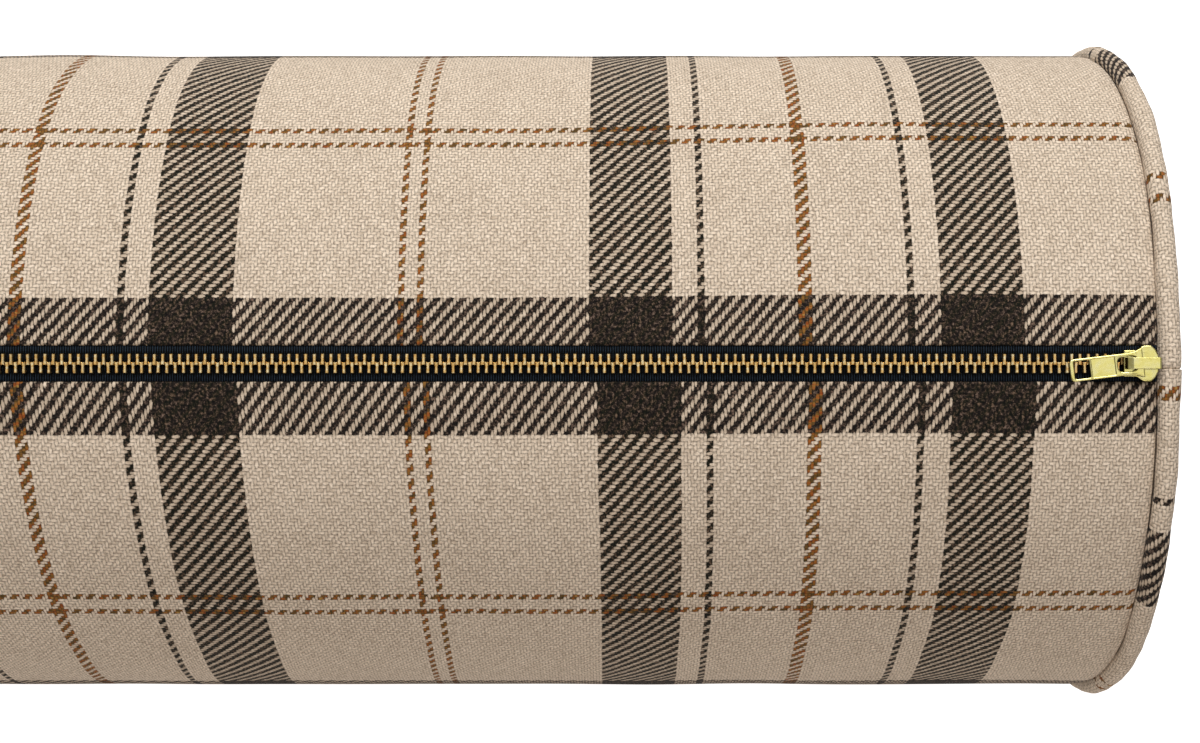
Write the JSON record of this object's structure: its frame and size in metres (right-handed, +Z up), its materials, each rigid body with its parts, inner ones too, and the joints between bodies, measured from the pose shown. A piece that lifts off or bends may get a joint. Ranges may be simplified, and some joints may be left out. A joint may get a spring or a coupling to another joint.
{
  "type": "bolster cushion",
  "caption": "Round bolster cushion in plaid wool-type twill, piped round each end, with an exposed metal zip along its length.",
  "frame": {"origin": "centre of the bottom of the bounding box, on the surface that the bolster lies on", "axes": "+X along the bolster to the end where the zip's slider is, +Y across it, +Z up through the zip"},
  "size_m": [0.6416, 0.2346, 0.2309],
  "materials": {
    "plaid_twill": "brushed wool-type twill in cream with charcoal, brown and rust plaid",
    "zip_tape": "woven navy-black tape with fine ribs",
    "zip_teeth": "polished golden brass",
    "zip_slider": "polished pale yellow brass, softly worn at the edges"
  },
  "bodies": {
    "root": {"bolster_body": "plaid_twill", "end_panel_right": "plaid_twill", "end_panel_left": "plaid_twill", "piping_right": "plaid_twill", "piping_left": "plaid_twill", "zip_tape_upper": "zip_tape", "zip_tape_lower": "zip_tape", "zip_teeth_upper": "zip_teeth", "zip_teeth_lower": "zip_teeth", "zip_slider": "zip_slider", "zip_puller": "zip_slider"}
  },
  "joints": []
}
